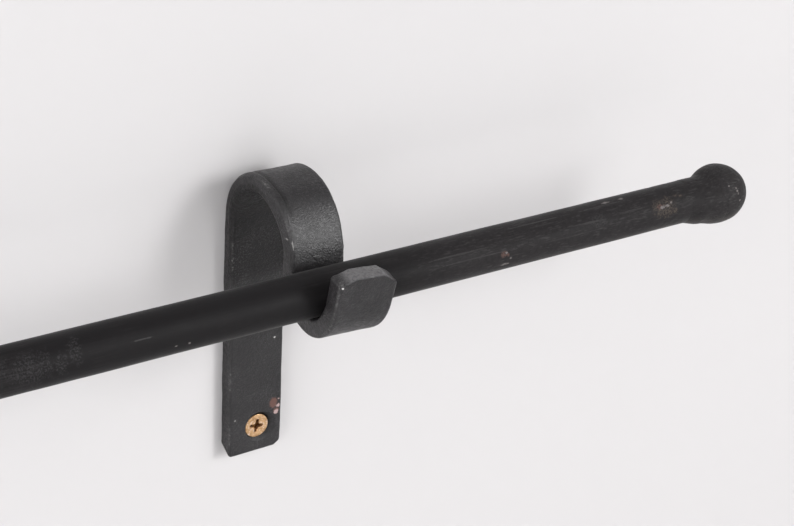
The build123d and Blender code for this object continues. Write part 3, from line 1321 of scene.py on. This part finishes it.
        share_x, share_n, angle = (array[None, :] for array in self.section())
        rough_s = np.where(np.isnan(body), np.where(np.isnan(from_top), 0.0, 1.0), body) * self.total
        outer = share_x * self.hand.value
        wide = self.half_width(rough_s, outer) - inset
        tall = half - inset
        corner = np.minimum(np.clip(self.corner_radius(rough_s, outer) - inset, 0.05 * MM, None), tall)
        x = share_x * (wide - corner) + corner * np.cos(angle)
        n = share_n * (tall - corner) + corner * np.sin(angle)
        low, top = self.end_place(x)
        low = low + self.plate_slant * (0.5 + n / self.thickness)
        s = np.where(np.isnan(body), 0.0, low + self.end_round + body * (top - low - 2 * self.end_round))
        s = np.where(np.isnan(from_low), s, low + from_low)
        s = np.where(np.isnan(from_top), s, top - from_top)

        across = x / wide.clip(1e-6)
        bent = self.bend(s)
        x = x * (1 - self.bend_spread * bent * n / half)
        n = n + self.saddle * bent * (across**2 - 0.4)
        n = n - self.groove(s, x) * (n > 0)
        start = np.cumsum(self.lengths)
        outboard = x * self.hand.value
        crown = window(s, start[0] + 16 * MM, start[1] - 22 * MM, 14 * MM)
        n = n - self.crown_tilt * crown * outboard / (self.width / 2)
        middle, heading = self.centre_line(s)
        up = middle[..., 1] - n * np.cos(heading)
        knocked = self.lip_turn * smooth_step(s, start[2] + 8 * MM, start[3])
        foot = self.hook_z - self.hook_radius - self.thickness / 2
        across_lip = x + self.hand.value * knocked * (up - foot)
        y = middle[..., 0] + n * np.sin(heading)
        points = np.stack([self.x + across_lip, y, up - knocked * outboard], axis=-1)
        grid = Grid(points, Close.STRIP, self.facing())
        corners = np.broadcast_to(np.abs(np.sin(2 * angle)), s.shape)
        cut_ends = np.maximum(smooth_step(s, 1.4 * MM, 0.0), smooth_step(s, top - 1.4 * MM, top))
        grid.values["edge"] = np.maximum(corners, cut_ends)
        capped = smooth_step(inset, 0.02 * MM, 0.5 * self.end_round)
        on_lip = np.broadcast_to(capped * smooth_step(s, self.total / 2, self.total * 0.9), s.shape)
        self.add_values(grid, s, x, n, on_lip)
        rough_end = 0.20 * MM * lattice_noise(grid.points, 1.7 * MM, 81) * on_lip
        worked = self.hammering(grid.points) + self.wrinkles(grid.points) * grid.values["wrinkle"]
        return grid.displaced(worked + rough_end)

    def add_values(self, grid: Grid, s: np.ndarray, x: np.ndarray, n: np.ndarray, on_lip: np.ndarray) -> None:
        """Adds the values that the paint reads: "cut", "inner", "polish", "wrinkle" and "crease".

        Args:
            grid: the bar's surface.
            s: distance of each point along the bar.
            x: its place across the bar.
            n: its place through the bar's thickness.
            on_lip: 1 on the cut top of the lip, 0 elsewhere.
        """
        start = np.cumsum(self.lengths)
        from_edge = self.width / 2 - np.abs(x)
        outside, inside = n > 0, n < 0
        # cut: the lip's cut top, bare metal that also carries a painted highlight.
        grid.values["cut"] = on_lip * smooth_step(from_edge, 0.5 * MM, 3.2 * MM)
        # inner: painted shade on the inside faces at the foot of the loop and just below it; it also lowers the
        # gloss there.
        shade = window(s, start[0] - 14 * MM, start[0] + 24 * MM, 8 * MM)
        grid.values["inner"] = 0.75 * shade * inside
        front = window(s, start[0] + 37 * MM, start[2] + 3 * MM, 6 * MM)
        grid.values["polish"] = front * outside * smooth_step(from_edge, 0.3 * MM, 1.2 * MM)
        shrunk = window(s, start[0] - 4 * MM, start[0] + 20 * MM, 8 * MM) * inside
        run = window(s, start[1] - 3 * MM, start[1] + 3 * MM, 2 * MM) * outside
        run = run * smooth_step(x * self.hand.value, -6 * MM, 1 * MM)
        grid.values["wrinkle"] = np.maximum(0.55 * shrunk, run)
        # crease: painted shade that follows the depth of the groove on the outside of the loop.
        grid.values["crease"] = np.clip(self.groove(s, x) / self.groove_depth, 0, 1) * outside

    def wrinkles(self, points: np.ndarray) -> np.ndarray:
        """Height of paint that ran and shrank: thin ridges where two layers of noise cross zero.

        Args:
            points: positions on the bracket.

        Returns:
            The height at each point.
        """
        layers = lattice_noise(points, 2.2 * MM, 61) + 0.5 * lattice_noise(points, 1.1 * MM, 62)
        return 0.10 * MM * np.clip(1 - 3 * np.abs(layers), -0.6, 1)

    def groove(self, s: np.ndarray, x: np.ndarray) -> np.ndarray:
        """Depth of the crease inside the inboard edge of the loop's crown, where the edge was upset.

        A narrow bell across the bar, whose middle wanders a little along it.

        Args:
            s: distances along the bar.
            x: places across it.

        Returns:
            The depth.
        """
        start = np.cumsum(self.lengths)
        reach = window(s, start[0] + 12 * MM, start[1] - 16 * MM, 7 * MM)
        middle = -self.width / 2 + 2.3 * MM + 0.25 * MM * np.sin(s * 420.0)
        return self.groove_depth * reach * np.exp(-((x * self.hand.value - middle) / (0.42 * MM)) ** 2)

    def hammering(self, points: np.ndarray) -> np.ndarray:
        """Height of the hand-worked surface: broad dents, small dents and a fine roughness.

        Args:
            points: positions on the bracket.

        Returns:
            The height at each point.
        """
        seed = 41 + 6 * self.hand.value
        broad = 0.10 * MM * lattice_noise(points, 8 * MM, seed)
        small = 0.040 * MM * lattice_noise(points, 2.6 * MM, seed + 1)
        fine = 0.014 * MM * lattice_noise(points, 1.0 * MM, seed + 2)
        return broad + small + fine

    def hole_cutter(self) -> bpy.types.Object:
        """Solid of the countersunk hole: a cone on a cylinder, swung round the screw's axis.

        The cone leans outboard, because its open end is moved off the axis.

        Returns:
            The piece to cut with.
        """
        face, past = -self.thickness, 3 * MM
        depth = self.rim_radius - self.hole_radius
        place = np.array([past, past, face + depth, face - past])
        hole, rim = self.hole_radius, self.rim_radius
        radius = np.array([0.2 * hole, hole, hole, rim + past])
        angles = np.linspace(0, 2 * math.pi, 96, endpoint=False)
        points = revolved(place, radius, angles, (self.screw.x, self.screw.z), 1)
        points[-1, :, 0] += 2 * self.hand.value * self.rim_shift[0]
        points[-1, :, 2] += 2 * self.rim_shift[1]
        return Grid(points, Close.POINT).mesh_object("hole_cutter")

    @staticmethod
    def mark(corner: Vector, away: tuple[float, float, float], reach: float, tone: tuple[float, float, float],
             squeeze: tuple[float, float, float] = (1.0, 1.0, 1.0)) -> PaintMark:
        """A mark at some millimetres from a corner of the bracket, with its reach in millimetres too."""
        return PaintMark(corner + Vector(away) * MM, reach * MM, tone, squeeze)

    def paint_marks(self, paint: BracketPaint) -> list[PaintMark]:
        """The chips, specks and painted shade in the bracket's paint.

        Args:
            paint: gives their colours.

        Returns:
            The marks; the chips beside the screw are on the right-hand bracket only.
        """
        face, front = -self.thickness, -2 * (self.loop_radius + self.thickness)
        inboard, outboard = self.x - self.width / 2, self.x + self.width / 2
        screw = Vector((self.screw.x, face, self.screw.z))
        plate = Vector((self.x, face, self.screw.z))
        plate_edge = Vector((outboard, face, self.screw.z))
        loop = Vector((inboard, front, self.loop_z))
        hook = Vector((inboard, front - self.hook_radius, self.hook_z - self.hook_radius))
        lip = Vector((inboard, self.lip_face_y(), self.hook_z))
        chips = [
            self.mark(plate_edge, (-2.1, 0.0, 6.6), 1.6, paint.rust, (1.0, 1.0, 0.8)),
            self.mark(plate_edge, (-1.2, 0.0, 4.0), 1.0, paint.rust),
            self.mark(plate_edge, (-0.4, 0.4, 7.6), 0.7, paint.chip),
            self.mark(plate_edge, (-0.7, 0.0, 5.4), 0.7, paint.chip),
            self.mark(plate_edge, (-1.2, 0.0, 3.4), 0.8, paint.chip),
        ]
        specks = [
            self.mark(plate_edge, (-2.3, 0.0, 28.0), 0.36, paint.speck),
            self.mark(plate, (-6.3, 0.0, 4.0), 0.36, paint.worn),
            self.mark(lip, (1.6, 0.0, 6.4), 0.40, paint.speck),
            self.mark(loop, (0.9, 1.3, 6.6), 0.24, paint.worn, (1.0, 0.3, 0.1)),
            self.mark(loop, (0.2, 3.0, 9.6), 0.30, paint.worn, (1.0, 0.4, 1.0)),
            self.mark(loop, (0.2, 3.2, 7.6), 0.26, paint.worn, (1.0, 0.4, 1.0)),
            self.mark(hook, (0.0, 1.6, -3.4), 0.30, paint.speck),
            self.mark(hook, (0.0, -1.2, -3.8), 0.26, paint.speck),
        ]
        # Painted shade in the countersink round the screw's head.
        shade = self.mark(screw, (0.5 * self.hand.value, 1.0, 0.0), 6.0, paint.shaded, (1.0, 5.0, 1.0))
        return (chips if self.hand is Hand.RIGHT else []) + specks + [shade]

    def lip_face_y(self) -> float:
        """Place of the lip's outer face near its top."""
        reach = 2 * (self.loop_radius + self.thickness) + 2 * self.hook_radius + self.thickness
        return -(reach + math.sin(self.lip_lean) * self.lip_rise * 0.8)

    def build(self, paint: BracketPaint) -> None:
        """Makes the bracket, cuts its countersunk hole and lets it ride on the brackets' body.

        Args:
            paint: its finish.
        """
        piece = self.surface().mesh_object(f"hook_bracket_{self.hand.word}")
        cutter = self.hole_cutter()
        cut = piece.modifiers.new("countersunk_hole", "BOOLEAN")
        cut.operation = "DIFFERENCE"
        cut.solver = "EXACT"
        cut.object = cutter
        graph = bpy.context.evaluated_depsgraph_get()
        finished = bpy.data.meshes.new_from_object(piece.evaluated_get(graph))
        piece.modifiers.clear()
        piece.data = finished
        bpy.data.objects.remove(cutter)
        finished.materials.clear()
        finished.materials.append(paint.build(self))
        settle(piece, Body.BRACKETS, (f"bracket_{self.hand.word}",))


# ------------------------------------------------------------------ the wall screws
@dataclass
class WallScrew:
    """A countersunk wood screw with a cross recess and a rolled thread.

    Attributes:
        hand: which bracket it holds.
        thread_radius: crest of the thread.
        shank_radius: plain neck between head and thread.
        core_radius: bottom of the thread.
        pitch: advance of the thread in one turn.
        head_edge: plain rim above the cone.
        head_worn: how much the rim's edge is rubbed down.
        drop: how far the screw sits low.
        recess_span: across the arms of the cross.
        recess_width: of one arm.
        recess_depth: at the middle.
        recess_turn: how far the cross stands turned from upright.
        point_length: taper at the end.
        edge_round: radius round the head's edge.
        columns: points round the screw.
        face_rows: rows across the head's face.
        cone_rows: rows down its cone.
        row_step: spacing of the rows along shank and thread.
    """

    hand: Hand
    thread_radius: float = 2.0 * MM
    shank_radius: float = 1.5 * MM
    core_radius: float = 1.28 * MM
    pitch: float = 1.8 * MM
    head_edge: float = 0.4 * MM
    head_worn: float = 0.16 * MM
    drop: float = 0.4 * MM
    recess_span: float = 4.3 * MM
    recess_width: float = 1.05 * MM
    recess_depth: float = 1.6 * MM
    recess_turn: float = -0.17
    point_length: float = 5.0 * MM
    edge_round: float = 0.18 * MM
    columns: int = 160
    face_rows: int = 64
    cone_rows: int = 18
    row_step: float = 0.1 * MM

    def __post_init__(self) -> None:
        """Reads the screw's box from the frame."""
        low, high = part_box(f"wall_screw_{self.hand.word}")
        self.centre = ((low.x + high.x) / 2, (low.z + high.z) / 2 - self.drop)
        self.head_y = low.y
        self.point_y = high.y
        self.head_radius = (high.x - low.x) / 2 - self.head_worn

    def recess(self, x: np.ndarray, z: np.ndarray) -> np.ndarray:
        """Share of the recess's depth: a cross whose arms narrow and rise towards their ends.

        Each arm is 1 inside its width and falls steeply to 0 outside it; the floor slopes up
        from the middle to the ends of the arms.

        Args:
            x: places across the head.
            z: places up it.

        Returns:
            The share, from 0 to 1.
        """
        cosine, sine = math.cos(self.recess_turn), math.sin(self.recess_turn)
        u = x * cosine + z * sine
        v = z * cosine - x * sine
        out = np.maximum(np.abs(u), np.abs(v))
        across = np.minimum(np.abs(u), np.abs(v))
        half = self.recess_width / 2 * (1 - 0.35 * np.clip(2 * out / self.recess_span, 0, 1))
        wall = smooth_step(across, half + 0.10 * MM, half - 0.02 * MM)
        reach = smooth_step(out, self.recess_span / 2, self.recess_span / 2 - 0.35 * MM)
        centre = smooth_step(np.hypot(u, v), 1.05 * MM, 0.75 * MM)
        floor = 1 - 0.45 * np.clip(2 * out / self.recess_span, 0, 1)
        return np.maximum(wall * reach, centre) * floor

    def surface(self) -> Grid:
        """The screw's surface: a profile swung round its axis, with the recess and the thread on it.

        The thread's height is a ridge in the fraction of a turn that is left after taking the
        angle away from the advance, so it runs round as a helix.

        Returns:
            The surface, with the value "recess" that its zinc reads.
        """
        angles = np.linspace(0, 2 * math.pi, self.columns, endpoint=False)
        face_r = np.linspace(0.05 * MM, self.head_radius - self.edge_round, self.face_rows)
        curve = np.linspace(0, math.pi / 2, 7)[1:]
        rim_r = self.head_radius - self.edge_round * (1 - np.sin(curve))
        rim_y = self.head_y + self.edge_round * (1 - np.cos(curve))
        cone_top = self.head_y + self.head_edge
        cone_y = np.linspace(cone_top, cone_top + self.head_radius - self.shank_radius, self.cone_rows)
        cone_r = np.linspace(self.head_radius, self.shank_radius, self.cone_rows)
        body_y = np.arange(cone_y[-1] + self.row_step, self.point_y - self.row_step / 2, self.row_step)
        taper = np.clip((self.point_y - body_y) / self.point_length, 0, 1)
        started = smooth_step(body_y, 0.1 * MM, 1.6 * MM)
        body_r = (self.shank_radius + (self.core_radius - self.shank_radius) * started) * taper**0.8
        place = np.concatenate([np.full(len(face_r), self.head_y), rim_y, cone_y, body_y])
        radius = np.concatenate([face_r, rim_r, cone_r, body_r])
        grid_r = np.repeat(radius[:, None], len(angles), axis=1)
        turn = (place[:, None] / self.pitch - angles[None, :] / (2 * math.pi)) % 1.0
        ridge = np.clip(1 - np.abs(turn - 0.5) / 0.27, 0, 1) ** 0.8
        threaded = np.concatenate([np.zeros(len(place) - len(body_y)), started * np.minimum(taper * 1.3, 1)])
        grid_r = grid_r + (self.thread_radius - self.core_radius) * ridge * threaded[:, None]
        points = revolved(place, grid_r, angles, self.centre, 1)
        on_face = (np.arange(len(place)) < len(face_r))[:, None]
        sunk = self.recess(points[..., 0] - self.centre[0], points[..., 2] - self.centre[1]) * on_face
        points[..., 1] += self.recess_depth * sunk
        points[..., 1] += 0.02 * MM * lattice_noise(points, 0.9 * MM, 71) * on_face
        # recess: where the zinc takes its painted shade.
        return Grid(points, Close.POINT, values={"recess": smooth_step(sunk, 0.25, 0.75)})

    def build(self, material: bpy.types.Material) -> None:
        """Makes the screw and lets it ride on the brackets' body.

        Args:
            material: its finish, which both screws share.
        """
        piece = self.surface().mesh_object(f"countersunk_screw_{self.hand.word}")
        piece.data.materials.append(material)
        settle(piece, Body.BRACKETS, (f"wall_screw_{self.hand.word}",))


# ------------------------------------------------------------------ the studio
@dataclass(frozen=True)
class Lamp:
    """One soft panel that faces the hook.

    Attributes:
        name: the panel's name.
        azimuth: degrees to the right of straight out from the wall, as seen from the hook.
        elevation: degrees up.
        distance: from the hook.
        width: of the panel.
        height: of the panel.
        power: in watts.
    """

    name: str
    azimuth: float
    elevation: float
    distance: float
    width: float
    height: float
    power: float


@dataclass
class Studio:
    """Pale wall and floor, soft panels, an even surround and the camera.

    Attributes:
        camera_azimuth: camera's side angle, 0 looking straight at the wall, negative to the left.
        camera_elevation: its height angle.
        camera_roll: its turn about its own line of sight.
        camera_offset: from the middle of the right-hand hook's rod to the camera.
        lens: focal length for a frame 36 mm wide.
        surround: colour of the even light from all round.
        wall_y: place of the wall, which just hides the hammered backs of the plates.
        lamps: the soft panels.
    """

    camera_azimuth: float = math.radians(-34.217)
    camera_elevation: float = math.radians(27.705)
    camera_roll: float = math.radians(3.629)
    camera_offset: tuple[float, float, float] = (-226.35 * MM, -359.99 * MM, 231.45 * MM)
    lens: float = 87.05
    surround: tuple[float, float, float] = (0.34, 0.335, 0.34)
    wall_y: float = -0.3 * MM
    lamps: tuple[Lamp, ...] = (
        Lamp("key_panel", 31.0, 18.0, 2.2, 2.0, 1.4, 21.0),
        Lamp("sheen_panel", 31.0, 24.0, 1.9, 0.42, 0.66, 12.8),
        Lamp("core_panel", 33.0, -10.0, 1.9, 0.30, 0.30, 1.6),
        Lamp("left_panel", -70.0, 14.0, 1.6, 1.4, 1.4, 21.5),
        Lamp("back_fill", 180.0, 20.0, 1.3, 1.2, 0.8, 2.6),
    )

    def hook_place(self) -> Vector:
        """The rod's axis at the middle of the right-hand bracket.

        Returns:
            The place that the camera and the panels are set from.
        """
        rod_low, rod_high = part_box("rod_bar")
        bracket_low, bracket_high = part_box("bracket_right")
        return Vector(((bracket_low.x + bracket_high.x) / 2, (rod_low.y + rod_high.y) / 2,
                       (rod_low.z + rod_high.z) / 2))

    @staticmethod
    def towards(azimuth: float, elevation: float) -> Vector:
        """Unit vector from the hook to a place at an azimuth and an elevation, both in radians."""
        return Vector((math.sin(azimuth) * math.cos(elevation), -math.cos(azimuth) * math.cos(elevation),
                       math.sin(elevation)))

    def add_camera(self) -> None:
        """Sets the camera by its place, the two angles of its line of sight and its roll."""
        sight = -self.towards(self.camera_azimuth, self.camera_elevation)
        right = sight.cross(Vector((0, 0, 1))).normalized()
        up = right.cross(sight)
        turned_right = right * math.cos(self.camera_roll) + up * math.sin(self.camera_roll)
        turned_up = up * math.cos(self.camera_roll) - right * math.sin(self.camera_roll)
        data = bpy.data.cameras.new("camera")
        data.sensor_width = 36.0
        data.lens = self.lens
        camera = bpy.data.objects.new("camera", data)
        turn = Matrix((turned_right, turned_up, -sight)).transposed().to_4x4()
        camera.matrix_world = Matrix.Translation(self.hook_place() + Vector(self.camera_offset)) @ turn
        bpy.context.scene.collection.objects.link(camera)
        bpy.context.scene.camera = camera

    def add_lamps(self) -> None:
        """Sets the panels facing the hook, and an even surround."""
        aim = self.hook_place()
        for lamp in self.lamps:
            data = bpy.data.lights.new(lamp.name, "AREA")
            data.shape = "RECTANGLE"
            data.size = lamp.width
            data.size_y = lamp.height
            data.energy = lamp.power
            panel = bpy.data.objects.new(lamp.name, data)
            away = self.towards(math.radians(lamp.azimuth), math.radians(lamp.elevation))
            turn = away.to_track_quat("Z", "Y").to_matrix().to_4x4()
            panel.matrix_world = Matrix.Translation(aim + away * lamp.distance) @ turn
            bpy.context.scene.collection.objects.link(panel)
        world = bpy.data.worlds.new("surround")
        world.use_nodes = True
        world.node_tree.nodes["Background"].inputs["Color"].default_value = (*self.surround, 1.0)
        bpy.context.scene.world = world

    def add_sheet(self, name: str, corners: list[tuple[float, float, float]], finish: PaleStage) -> None:
        """Adds one flat sheet of the stage.

        Args:
            name: the sheet's name.
            corners: its four corners, in turn.
            finish: its paint.
        """
        mesh = bpy.data.meshes.new(name)
        mesh.from_pydata(corners, [], [(0, 1, 2, 3)])
        mesh.materials.append(finish.build())
        sheet = bpy.data.objects.new(name, mesh)
        bpy.context.scene.collection.objects.link(sheet)

    def build(self) -> None:
        """Makes the camera, the panels, the wall and the floor."""
        self.add_camera()
        self.add_lamps()
        left, right, front, back, low, top = -2.2, 2.2, -2.2, 2.2, -0.26, 1.3
        y = self.wall_y
        wall = [(left, y, low), (right, y, low), (right, y, top), (left, y, top)]
        floor = [(left, front, low), (right, front, low), (right, back, low), (left, back, low)]
        self.add_sheet("wall", wall, PaleStage("wall_paint", (0.632, 0.620, 0.623)))
        self.add_sheet("floor", floor, PaleStage("floor_paint", (0.74, 0.735, 0.735)))
        bpy.context.scene.view_settings.view_transform = "Standard"
        log.info("studio: camera, %d panels, wall and floor", len(self.lamps))


def main() -> None:
    """Builds the studio, the rod, the brackets and the screws."""
    logging.basicConfig(level=logging.INFO, format="%(name)s %(message)s")
    Studio().build()
    ForgedRod().build(RodSteel())
    zinc = YellowZinc().build()
    for hand in Hand:
        HookBracket(hand).build(BracketPaint())
        WallScrew(hand).build(zinc)


if __name__ == "__main__":
    main()
